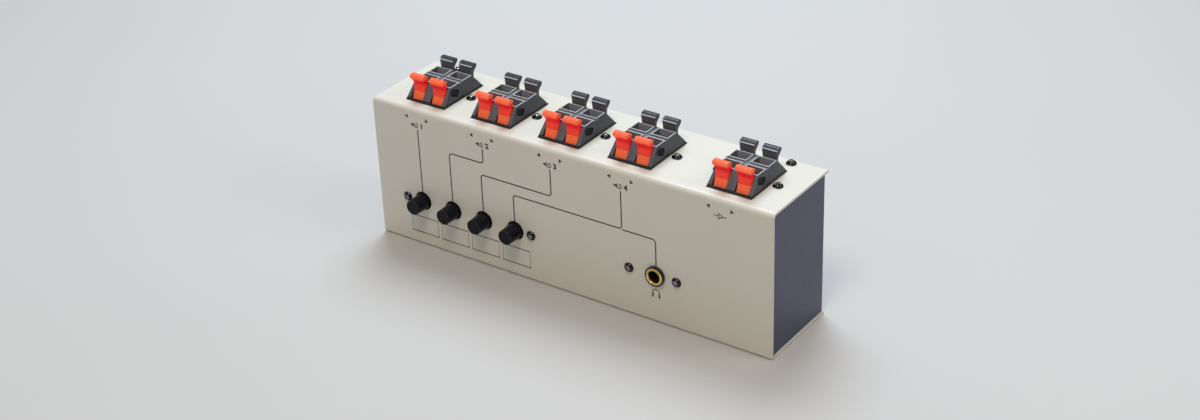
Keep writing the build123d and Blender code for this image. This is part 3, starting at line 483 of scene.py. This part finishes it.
def lever_red_finish():
    # The emission is painted light: the levers glow though they are no lamp.
    skin = Finish("lever_red", edge=0.1, specular_ior_level=0.2, emission_strength=0.15,
                  subsurface_weight=0.25, subsurface_scale=2 * MM,
                  subsurface_radius=(1.0, 0.15, 0.08))
    height = skin.along("Z") - top_z / MM
    grain = skin.grain()
    # Painted shade: a darker line on the crease.
    crease_shade = 1 - skin.ramp((height - CREASE_HEIGHT).size(), 0.08, 0.35)
    fading = skin.ramp(skin.noise(0.25, detail=3), 0.4, 0.7)
    # Paler edges: partly wear, partly painted highlight.
    wear_and_highlight = skin.edges(4.0)
    # Painted light and shade: orange where lit, redder above the crease, deep red in the hollow,
    # orange on the lip.
    tone = skin.blend(skin.ramp(height, *UPPER_SHADE_FADE), (1.0, 0.165, 0.063), (1.0, 0.062, 0.034))
    tone = skin.blend(skin.ramp(height, *HOLLOW_SHADE_FADE), tone, (1.0, 0.008, 0.024))
    tone = skin.blend(skin.ramp(height, *LIP_LIGHT_FADE), tone, (0.95, 0.155, 0.062))
    tone = skin.layers(tone, (crease_shade, 0.5, (0.45, 0.015, 0.01)),
                       (fading, 0.1, (0.6, 0.03, 0.02)), (wear_and_highlight, 0.35, (0.95, 0.25, 0.12)))
    return skin.surface(height=grain, depth=0.015, strength=0.3, base_color=tone,
                        emission_color=tone, roughness=0.34 + 0.1 * grain - 0.1 * wear_and_highlight)


dress(lever_red_finish(), *levers("red"))

# %% [markdown]
# ## Screws
# The screws are blackened steel: a thin dark oxide over metal. Pale bare steel is mixed in, in
# patches, at the edges of the head and of the cross and on its crown, partly where the driver and
# the thumb polish through and partly as painted glints. A metallic shader with a dark colour does
# that, with the bare steel mixed in at those places.

# %% Blackened screws
def blackened_steel():
    steel = Finish("blackened_steel", edge=0.3, metallic=0.9)
    scratch = steel.noise(3.0, detail=4, coordinates=steel.stretched((1.0, 0.25, 1.0)))
    patches = steel.ramp(steel.noise(0.9), 0.35, 0.5)
    upward, not_forward = steel.facing("Z", 0.8, 0.95), steel.facing("Y", -0.95, -0.8)
    # Pale patches on the crown and the edges: partly polish, partly painted glints.
    crown_polish_and_glint = steel.ramp(upward + 1 - not_forward, 0.0, 1.0)
    tone = steel.layers(
        (0.030, 0.030, 0.034),
        (steel.ramp(scratch, 0.5, 0.75), 0.5, (0.055, 0.055, 0.06)),
        (crown_polish_and_glint * patches, 0.7, (0.80, 0.80, 0.84)),
        (steel.edges() * patches, 0.8, (0.75, 0.74, 0.73)))
    return steel.surface(height=scratch, depth=0.01, strength=0.25, base_color=tone,
                         roughness=0.1 + 0.08 * scratch)


dress(blackened_steel(), "screws")

# %% [markdown]
# ## Gold ring of the socket
# The sleeve that a headphone plug slides into is turned brass with a gold flash. Its face shows
# faint rings from the lathe and is dished towards the hole, which gives it a bright lower and a
# dark upper side, so its relief follows the distance from the socket's axis. Deeper in the bore
# the gold is darkened, a painted shade.

# %% Turned and plated brass
RELIEF_DEPTH = 0.01
DISH_SLOPE = 45.0  # in reliefs for each millimetre of radius
RING_RADIANS, RING_HEIGHT = 38.0, 0.15  # for each millimetre of radius, and in reliefs
BORE_SHADE_FADE = (2.5, 5.0)  # millimetres into the bore


def turned_gold():
    gold = Finish("turned_gold", edge=0.2, metallic=1.0)
    across, up = gold.along("X") - socket.x / MM, gold.along("Z") - socket.z / MM
    squared = across * across + up * up
    radius = gold.node("ShaderNodeMath", {"operation": "SQRT"}, {0: squared})
    rings = gold.node("ShaderNodeMath", {"operation": "SINE"}, {0: radius * RING_RADIANS})
    tarnish = gold.ramp(gold.noise(0.5, detail=4), 0.45, 0.8)
    # Painted shade: the gold darkens deeper in the bore.
    bore_shade = gold.ramp(gold.along("Y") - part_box("socket_sleeve")[0].y / MM, *BORE_SHADE_FADE)
    tone = gold.layers((1.0, 0.72, 0.26), (tarnish, 0.35, (0.80, 0.47, 0.11)),
                       (bore_shade, 0.85, (0.10, 0.06, 0.03)))
    return gold.surface(height=rings * RING_HEIGHT + radius * DISH_SLOPE, depth=RELIEF_DEPTH,
                        strength=1.0, base_color=tone, roughness=0.24 + 0.12 * tarnish)


dress(turned_gold(), "socket_sleeve")

# %% [markdown]
# ## Inner parts
# Nobody sees the inner parts until the box is opened, but they have real finishes too: tinned
# brass contacts and pins, drawn spring wire, zinc-plated brackets, moulded switch bodies, a brown
# laminate board, and insulated wires.

# %% Plated, drawn and tinned metal
def plated(name, colour, dull, roughness, drawn):
    """`drawn` is the scale of the marks along each axis, small where they are long."""
    metal = Finish(name, edge=0.1, metallic=1.0)
    marks = metal.noise(2.0, detail=3, coordinates=metal.stretched(drawn))
    spangle = metal.ramp(metal.noise(0.25), 0.4, 0.65)
    return metal.surface(height=marks, depth=0.01, strength=0.2,
                         base_color=metal.layers(colour, (spangle, 0.6, dull)),
                         roughness=roughness + 0.15 * marks)


tinned = plated("tin_plate", colour=(0.72, 0.70, 0.64), dull=(0.6, 0.58, 0.52),
                roughness=0.3, drawn=(1, 1, 0.2))
spring_steel = plated("drawn_steel", colour=(0.62, 0.62, 0.64), dull=(0.5, 0.5, 0.52),
                      roughness=0.22, drawn=(1, 1, 0.3))
zinc = plated("zinc_plate", colour=(0.62, 0.63, 0.6), dull=(0.5, 0.5, 0.46),
              roughness=0.34, drawn=(0.2, 1, 1))
dress(tinned, *[f"{name}_contact_bars" for name in TERMINALS],
      "switch_pins", "socket_contacts", "ground_bus")
dress(spring_steel, *[f"{name}_contact_springs" for name in TERMINALS], "return_springs")
dress(zinc, "switch_bracket", "socket_plate")

# %% [markdown]
# The mouldings inside reuse the moulded finish in their own colours. The board is pressed paper,
# brown with darker fibres. The two resistors lie behind the first two buttons, along X, and carry
# coloured bands around their bodies.

# %% Board, bodies, resistors and wires
BANDS = {-2.0: (0.5, 0.02, 0.02), -1.0: (0.25, 0.01, 0.3), 0.0: (0.03, 0.015, 0.01),
         2.0: (0.5, 0.33, 0.08)}  # millimetres from the middle, and colour
BAND_HALF = 0.28
RESISTOR_Y, LEAD_RADIUS = 15.0, 0.4


def laminate():
    board = Finish("brown_laminate", edge=0.1)
    fibres = board.noise(1.5, detail=4, coordinates=board.stretched((0.15, 1.0, 1.0)))
    tone = board.blend(board.ramp(fibres, 0.35, 0.7), (0.30, 0.16, 0.06), (0.20, 0.10, 0.035))
    return board.surface(height=fibres, depth=0.01, base_color=tone,
                         roughness=0.42 + 0.2 * fibres)


def banded_resistors():
    lacquer = Finish("resistor_lacquer", edge=0.2)
    length = lacquer.along("X")
    uneven = lacquer.ramp(lacquer.noise(0.8), 0.3, 0.7)
    tone = lacquer.blend(uneven, (0.52, 0.38, 0.22), (0.44, 0.31, 0.17))
    for button in BUTTONS[:2]:
        for offset, band in BANDS.items():
            there = (length - (button_x[button] / MM + offset)).size().below(BAND_HALF)
            tone = lacquer.blend(there, tone, band)
    lead = (lacquer.along("Y") - RESISTOR_Y).size().below(LEAD_RADIUS)
    return lacquer.surface(base_color=tone,
                           roughness=0.3 + 0.2 * (lead * (lacquer.noise(2.0) * 0.3 + 0.7)))


dress(moulded("switch_moulding", colour=(0.05, 0.05, 0.055), shade=(0.04, 0.04, 0.045),
              wear_and_highlight_colour=(0.15, 0.15, 0.16), roughness=0.5), "switch_bodies")
dress(moulded("socket_moulding", colour=(0.018, 0.018, 0.018), shade=(0.012, 0.012, 0.012),
              wear_and_highlight_colour=(0.08, 0.08, 0.08), roughness=0.5), "socket_body")
dress(moulded("plunger_white", colour=(0.70, 0.69, 0.64), shade=(0.62, 0.60, 0.54),
              wear_and_highlight_colour=(0.8, 0.8, 0.76), roughness=0.38), *[f"{name}_plunger" for name in BUTTONS])
dress(moulded("wire_sleeving", colour=(0.50, 0.035, 0.03), shade=(0.40, 0.028, 0.022),
              wear_and_highlight_colour=(0.6, 0.15, 0.12), roughness=0.4), "speaker_wires", "headphone_wires")
dress(laminate(), "switch_board")
dress(banded_resistors(), "headphone_resistors")

# %% [markdown]
# ## Rims of the wire entries
# Each terminal block has four wire entries, and a thin raised rim around each one. One rim is
# modelled by hand: a plane is inset, its middle is deleted, what is left is extruded upwards, and
# a Bevel modifier rounds it so that it catches the light. It is then copied to the block's other
# entries, and the joined four are copied to the other blocks. The rims are a pale grey, a painted
# highlight on the charcoal moulding.

# %% Helpers for modelling by hand
def start_clean():
    """Nothing selected, so that the next operator acts on the new piece alone."""
    if bpy.context.object and bpy.context.object.mode == "EDIT":
        bpy.ops.object.mode_set(mode="OBJECT")
    bpy.ops.object.select_all(action="DESELECT")


def select_only(*pieces):
    start_clean()
    for piece in pieces:
        piece.select_set(True)
    bpy.context.view_layer.objects.active = pieces[0]


def edit(piece, kind="FACE", pick="DESELECT"):
    """Enter edit mode with nothing picked, or with all of it."""
    select_only(piece)
    bpy.ops.object.mode_set(mode="EDIT")
    bpy.ops.mesh.select_mode(type=kind)
    bpy.ops.mesh.select_all(action=pick)


def pick_only(piece, kind, wanted):
    """Pick the vertices or edges whose middle is where `wanted` says."""
    bpy.ops.object.mode_set(mode="OBJECT")
    mesh = piece.data
    for part in (*mesh.vertices, *mesh.edges, *mesh.polygons):
        part.select = False
    if kind == "EDGE":
        for edge in mesh.edges:
            first, second = (mesh.vertices[end].co for end in edge.vertices)
            edge.select = wanted((first + second) / 2)
    else:
        for vertex in mesh.vertices:
            vertex.select = wanted(vertex.co)
    bpy.ops.object.mode_set(mode="EDIT")


def apply_modifier(piece, kind, **settings):
    select_only(piece)
    modifier = piece.modifiers.new(kind.lower(), kind)
    for key, value in settings.items():
        setattr(modifier, key, value)
    bpy.ops.object.modifier_apply(modifier=modifier.name)


def settle(piece):
    """Put the piece's place into its mesh, with its object at the origin."""
    select_only(piece)
    bpy.ops.object.transform_apply(location=True, rotation=True, scale=True)


def copied(piece, name, shift):
    """A copy with a mesh of its own, moved by `shift`."""
    select_only(piece)
    bpy.ops.object.duplicate(linked=False)
    copy = bpy.context.object
    copy.name = name
    copy.location = copy.location + Vector(shift)
    settle(copy)
    return copy


def joined(pieces, name):
    select_only(*pieces)
    bpy.ops.object.join()
    whole = bpy.context.object
    whole.name = name
    return whole


print("helpers ready")

# %% Model one rim and copy it
ENTRY_X, ENTRY_Y = 6.5 * MM, 5.25 * MM
ENTRY_WIDTH, ENTRY_LENGTH = 9.4 * MM, 7.0 * MM
RIM_WIDTH, RIM_HEIGHT = 0.5 * MM, 0.28 * MM
RIM_BEVEL = 0.16 * MM
RIM_SINK = 0.03 * MM  # into the housing, so that no gap shows under the rim


def entry_rim(centre):
    bpy.ops.mesh.primitive_plane_add(size=1, location=centre)
    rim = bpy.context.object
    rim.scale = (ENTRY_WIDTH + 2 * RIM_WIDTH, ENTRY_LENGTH + 2 * RIM_WIDTH, 1)
    settle(rim)
    edit(rim, pick="SELECT")
    bpy.ops.mesh.inset(thickness=RIM_WIDTH)
    bpy.ops.mesh.delete(type="FACE")
    bpy.ops.mesh.select_all(action="SELECT")
    bpy.ops.mesh.extrude_region_move(TRANSFORM_OT_translate={"value": (0, 0, RIM_HEIGHT)})
    bpy.ops.mesh.select_all(action="SELECT")
    bpy.ops.mesh.normals_make_consistent(inside=False)
    apply_modifier(rim, "BEVEL", width=RIM_BEVEL, segments=2, limit_method="ANGLE")
    return rim


start_clean()
first_x = block_x["speaker_1"]
first_rim = entry_rim((first_x - ENTRY_X, block_y - ENTRY_Y, block_top - RIM_SINK))
rims = [first_rim] + [copied(first_rim, "rim", shift) for shift in (
    (0, 2 * ENTRY_Y, 0), (2 * ENTRY_X, 0, 0), (2 * ENTRY_X, 2 * ENTRY_Y, 0))]
# The rims' pale grey is a painted highlight on the charcoal housing.
rim_grey = moulded("rim_grey", colour=(0.58, 0.58, 0.585), shade=(0.50, 0.50, 0.51),
                   wear_and_highlight_colour=(0.80, 0.80, 0.80), roughness=0.25)
first_rims = joined(rims, "speaker_1_entry_rims")
block_rims = [first_rims] + [
    copied(first_rims, f"{name}_entry_rims", (block_x[name] - first_x, 0, 0))
    for name in TERMINALS[1:]]
for rim in block_rims:
    rim.data.materials.append(rim_grey)
    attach(rim, "case")
print(len(block_rims), "sets of rims,", len(first_rims.data.polygons), "faces each")

# %% [markdown]
# ## Printed lines
# The front is silk-screened with a dark ink: a line leads from each speaker terminal to its
# button, and the last one on to the headphone socket. A printed line is drawn as a draughtsman
# would, with straight runs and round corners: a small square is the pen, its leading edge is
# extruded along each run and spun around each corner. Solidify then gives the ink its thickness.

# %% Draw the printed lines
INK_THICKNESS = 0.05 * MM
INK_Y = front_y + 0.01 * MM  # the ink's back lies a hair inside the enamel
LINE_WIDTH = 0.7 * MM
CORNER_STEPS = 6
WELD = 0.002 * MM
UPRIGHT = (math.pi / 2, 0, 0)
HEADINGS = {"down": Vector((0, 0, -1)), "up": Vector((0, 0, 1)),
            "left": Vector((-1, 0, 0)), "right": Vector((1, 0, 0))}


def printed_line(name, start, heading, moves, width=LINE_WIDTH):
    """A line of ink from `start` (X, Z in mm): numbers are straight runs, pairs are corners."""
    way = HEADINGS[heading]
    place = Vector((start[0] * MM, INK_Y, start[1] * MM))
    start_clean()
    bpy.ops.mesh.primitive_plane_add(size=width, location=place, rotation=UPRIGHT)
    line = bpy.context.object
    line.name = name
    settle(line)
    edit(line, "EDGE")
    place = place + way * width / 2
    pick_only(line, "EDGE", lambda centre: (centre - place).length < width / 10)
    for move in moves:
        if isinstance(move, tuple):
            radius, turn = move[0] * MM, HEADINGS[move[1]]
            centre = place + turn * radius
            bpy.ops.mesh.spin(steps=CORNER_STEPS, angle=-math.pi / 2 * way.cross(turn).y,
                              center=centre, axis=(0, 1, 0))
            place = centre + way * radius
            way = turn
        else:
            bpy.ops.mesh.extrude_region_move(TRANSFORM_OT_translate={"value": way * move * MM})
            place = place + way * move * MM
    start_clean()
    return line


start_x = [block_x[name] / MM for name in TERMINALS[:4]]
end_x = [button_x[name] / MM for name in BUTTONS]
LINE_TOP, LINE_END, CORNER = 70.8, 33.5, 2.0
RUN_Z = {1: 63.1, 2: 55.9, 3: 48.8}
SOCKET_LINE_START = start_x[3] + 0.6  # just right of the fourth line's bend

lines = [printed_line("line_1", (end_x[0], LINE_TOP), "down", [LINE_TOP - LINE_END])]
for i in (1, 2):
    lines.append(printed_line(f"line_{i + 1}", (start_x[i], LINE_TOP), "down", [
        LINE_TOP - RUN_Z[i] - CORNER, (CORNER, "left"),
        start_x[i] - end_x[i] - 2 * CORNER, (CORNER, "down"),
        RUN_Z[i] - LINE_END - CORNER]))
lines.append(printed_line("line_4", (end_x[3], LINE_END), "up", [
    RUN_Z[3] - LINE_END - CORNER, (CORNER, "right"),
    start_x[3] - end_x[3] - 2 * CORNER, (CORNER, "up"),
    LINE_TOP - RUN_Z[3] - CORNER]))
lines.append(printed_line("line_5", (SOCKET_LINE_START, RUN_Z[3]), "right", [
    socket.x / MM - SOCKET_LINE_START - CORNER, (CORNER, "down"),
    RUN_Z[3] - LINE_END - CORNER]))
print(len(lines), "printed lines")

# %% [markdown]
# ## Write-on boxes
# Under each button is a thin box to write a speaker's name in. Its upper and lower sides are fine
# lines and its two upright sides are rows of short dashes.

# %% Draw the boxes under the buttons
BOX_LOW, BOX_HIGH, BOX_WIDTH = 7.4, 17.3, 18.2
FINE_LINE = 0.48 * MM
DASH, DASH_PITCH, DASH_START = 0.16, 1.4, 0.5


def printed_box(x):
    """One box, centred on x (mm)."""
    left = x - BOX_WIDTH / 2
    sides = [printed_line("side", (left, z), "right", [BOX_WIDTH], FINE_LINE)
             for z in (BOX_LOW, BOX_HIGH)]
    dashes = [printed_line("dash", (left, BOX_LOW + DASH_START), "up", [DASH], FINE_LINE)]
    for row in range(1, int((BOX_HIGH - BOX_LOW) / DASH_PITCH)):
        dashes.append(copied(dashes[0], "dash", (0, 0, row * DASH_PITCH * MM)))
    opposite = [copied(dash, "dash", (BOX_WIDTH * MM, 0, 0)) for dash in dashes]
    return joined(sides + dashes + opposite, "box")


first_box = printed_box(end_x[0])
boxes = [first_box] + [copied(first_box, "box", ((x - end_x[0]) * MM, 0, 0)) for x in end_x[1:]]
print(len(boxes), "boxes of", len(first_box.data.polygons), "faces")

# %% [markdown]
# ## Numbers and marks
# Over each line stands the terminal's number beside a small loudspeaker, and small arrowheads
# show which levers are for the left and the right channel. The fifth block has an amplifier's
# triangle and the socket a pair of headphones. Numbers start as text, which is made a mesh before
# it is put in place; the other marks are drawn from a plane, a circle or a bent line. All sizes
# and places are in millimetres on the panel.

# %% Draw the numbers and marks
MARK_Z, SPEAKER_X, NUMBER_X = 73.6, -3.6, 3.2
ARROW_Z, ARROW_X, ARROW_RADIUS, ARROW_CORNER = 77.9, 6.6, 1.4, 0.12
DIGIT_HEIGHT, DIGIT_SHARE = 2.9, 0.7  # a digit fills this share of the font's size
EXTRA_BOLD = 0.045
MAGNET, CONE_LENGTH, CONE_FLARE = 1.0, 1.2, 2.9
WAVE_X, WAVE_PEN = 2.2, 0.44 * MM
WAVES = ((-0.1, 0.75), (0.5, 1.4))  # the step to the right and the size of each
HEADPHONES_Z = 17.6
BOW_RADIUS, BOW_FOOT, BOW_DROP, BOW_PEN = 2.1, 0.4, 0.8, 0.46 * MM
CUP_X, CUP_DROP, CUP_LENGTH, CUP_WIDTH, CUP_CORNER = 2.0, 2.4, 1.6, 0.95, 0.25
TRIANGLE_RADIUS, TRIANGLE_PEN = 2.1, 0.44 * MM
LEADS, LEAD_PEN = ((-3.4, 2.3), (1.9, 1.5)), 0.42 * MM  # the start and length of each


def number(digit, x, z):
    start_clean()
    bpy.ops.object.text_add()
    text = bpy.context.object
    text.data.body = digit
    text.data.size = DIGIT_HEIGHT * MM / DIGIT_SHARE
    text.data.offset = EXTRA_BOLD * text.data.size
    text.data.align_x, text.data.align_y = "CENTER", "CENTER"
    bpy.ops.object.convert(target="MESH")
    text.rotation_euler = UPRIGHT
    text.location = (x * MM, INK_Y, z * MM)
    settle(text)
    return text


def arrowhead(x, z, radius, pointing):
    """A triangle with slightly rounded corners, pointing left (-1) or right (1)."""
    start_clean()
    bpy.ops.mesh.primitive_circle_add(vertices=3, radius=radius * MM, fill_type="NGON",
                                      location=(x * MM, INK_Y, z * MM),
                                      rotation=(math.pi / 2, pointing * math.pi / 2, 0))
    head = bpy.context.object
    settle(head)
    edit(head, "VERT", pick="SELECT")
    bpy.ops.mesh.bevel(offset=ARROW_CORNER * MM, segments=2, affect="VERTICES")
    start_clean()
    return head


def loudspeaker(x, z):
    """Its magnet is a small square, its cone the square's edge extruded and widened."""
    start_clean()
    bpy.ops.mesh.primitive_plane_add(size=MAGNET * MM, location=(x * MM, INK_Y, z * MM),
                                     rotation=UPRIGHT)
    body = bpy.context.object
    settle(body)
    edit(body, "EDGE")
    pick_only(body, "EDGE", lambda centre: centre.x > (x + MAGNET / 4) * MM)
    bpy.ops.mesh.extrude_region_move(TRANSFORM_OT_translate={"value": (CONE_LENGTH * MM, 0, 0)})
    bpy.ops.transform.resize(value=(1, 1, CONE_FLARE))
    start_clean()
    waves = [printed_line("wave", (x + WAVE_X + step, z - size), "right",
                          [(size, "up"), (size, "left")], WAVE_PEN)
             for step, size in WAVES]
    return joined([body] + waves, "loudspeaker")


def headphones(x, z):
    """A bow from ear to ear and two cups with round ends."""
    bow = printed_line("bow", (x - BOW_RADIUS, z - BOW_DROP), "up",
                       [BOW_FOOT, (BOW_RADIUS, "right"), (BOW_RADIUS, "down"), BOW_FOOT],
                       BOW_PEN)
    cups = []
    for side in (-1, 1):
        cup = printed_line("cup", (x + side * CUP_X, z - CUP_DROP), "up", [CUP_LENGTH],
                           CUP_WIDTH * MM)
        edit(cup, "VERT", pick="SELECT")
        bpy.ops.mesh.remove_doubles(threshold=WELD)
        seam_z = (z - CUP_DROP + CUP_WIDTH / 2) * MM
        pick_only(cup, "VERT", lambda place: abs(place.z - seam_z) > CUP_CORNER * MM)
        bpy.ops.mesh.bevel(offset=CUP_CORNER * MM, segments=3, affect="VERTICES")
        start_clean()
        cups.append(cup)
    return joined([bow] + cups, "headphones")


def amplifier_mark(x, z):
    """The outline of a triangle with a lead on either side."""
    outline = arrowhead(x, z, TRIANGLE_RADIUS, 1)
    edit(outline, pick="SELECT")
    bpy.ops.mesh.inset(thickness=TRIANGLE_PEN)
    bpy.ops.mesh.delete(type="FACE")
    start_clean()
    leads = [printed_line("lead", (x + start, z), "right", [length], LEAD_PEN)
             for start, length in LEADS]
    return joined([outline] + leads, "amplifier_mark")


first_speaker = loudspeaker(start_x[0] + SPEAKER_X, MARK_Z)
first_arrows = joined([arrowhead(start_x[0] + side * ARROW_X, ARROW_Z, ARROW_RADIUS, side)
                       for side in (-1, 1)], "arrowheads")
marks = [first_speaker, first_arrows, amplifier_mark(block_x["amplifier"] / MM, MARK_Z),
         headphones(socket.x / MM, HEADPHONES_Z)]
for x in start_x[1:]:
    marks.append(copied(first_speaker, "loudspeaker", ((x - start_x[0]) * MM, 0, 0)))
for name in TERMINALS[1:]:
    marks.append(copied(first_arrows, "arrowheads", (block_x[name] - first_x, 0, 0)))
for digit, x in zip("1234", start_x):
    marks.append(number(digit, x + NUMBER_X, MARK_Z))
print(len(marks), "marks")

# %% [markdown]
# ## Ink
# The lines, boxes and marks are joined to one piece each. Their flat faces are turned to face the
# user before Solidify gives them the thickness of a film of ink, which rides on the case.

# %% Give the print its thickness and ink
def ink():
    """Screen ink: dark, slightly glossy, a little uneven where the screen left its weave."""
    film = Finish("print_ink", edge=0.02)
    weave = film.noise(3.0, detail=3)
    tone = film.blend(film.ramp(weave, 0.35, 0.7), (0.018, 0.016, 0.015), (0.032, 0.028, 0.025))
    return film.surface(height=weave, depth=0.005, strength=0.2, base_color=tone,
                        roughness=0.45 + 0.2 * weave)


print_ink = ink()
prints = [joined(lines, "printed_lines"), joined(boxes, "printed_boxes"),
          joined(marks, "printed_marks")]
for piece in prints:
    edit(piece, pick="SELECT")
    bpy.ops.mesh.remove_doubles(threshold=WELD)
    bpy.ops.mesh.select_all(action="DESELECT")
    bpy.ops.object.mode_set(mode="OBJECT")
    for face in piece.data.polygons:
        face.select = face.normal.y > 0
    bpy.ops.object.mode_set(mode="EDIT")
    bpy.ops.mesh.flip_normals()
    apply_modifier(piece, "SOLIDIFY", thickness=INK_THICKNESS, offset=1)
    piece.data.materials.clear()
    piece.data.materials.append(print_ink)
    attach(piece, "case")
    print(piece.name, len(piece.data.polygons), "faces")

# %% [markdown]
# ## Floor finish
# The floor is a plain pale sheet of paper with a very faint tooth.

# %% Paper floor
paper = Finish("pale_paper")
tooth = paper.noise(0.6, detail=3)
shade = paper.blend(paper.noise(0.004), (0.575, 0.555, 0.535), (0.55, 0.53, 0.515))
floor.data.materials.append(paper.surface(
    height=tooth, depth=0.05, strength=0.1, base_color=shade, roughness=0.8 + 0.1 * tooth))
print("floor finished")
